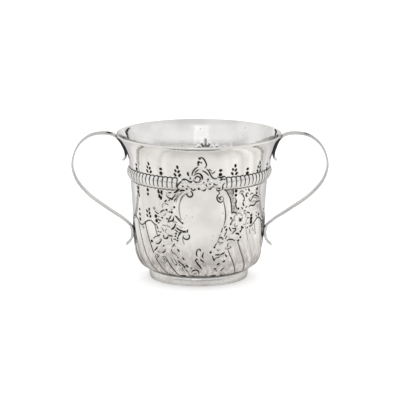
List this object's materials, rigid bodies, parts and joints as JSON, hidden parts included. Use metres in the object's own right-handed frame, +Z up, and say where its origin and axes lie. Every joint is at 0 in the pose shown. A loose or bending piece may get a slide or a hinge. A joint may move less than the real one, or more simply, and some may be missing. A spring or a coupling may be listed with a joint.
{
  "type": "porringer",
  "caption": "Silver drinking cup with scrolled strap handles, a bell mouth, a corded girdle, spiral flutes below it and a low foot ring.",
  "frame": {"origin": "centre of the foot ring's resting face, on the cup's own axis; the handles are bent by hand and not quite alike, so the middle of the whole box lies 0.8 mm to +X of it", "axes": "+Z up along the cup's axis; +X towards the handle on the right of someone who faces the cup; the chased front faces -Y"},
  "size_m": [0.1561, 0.1, 0.0889],
  "materials": {
    "sterling_silver": "polished"
  },
  "bodies": {
    "root": {"cup_body": "sterling_silver", "foot_ring": "sterling_silver", "handle_left": "sterling_silver", "handle_right": "sterling_silver"}
  },
  "joints": []
}
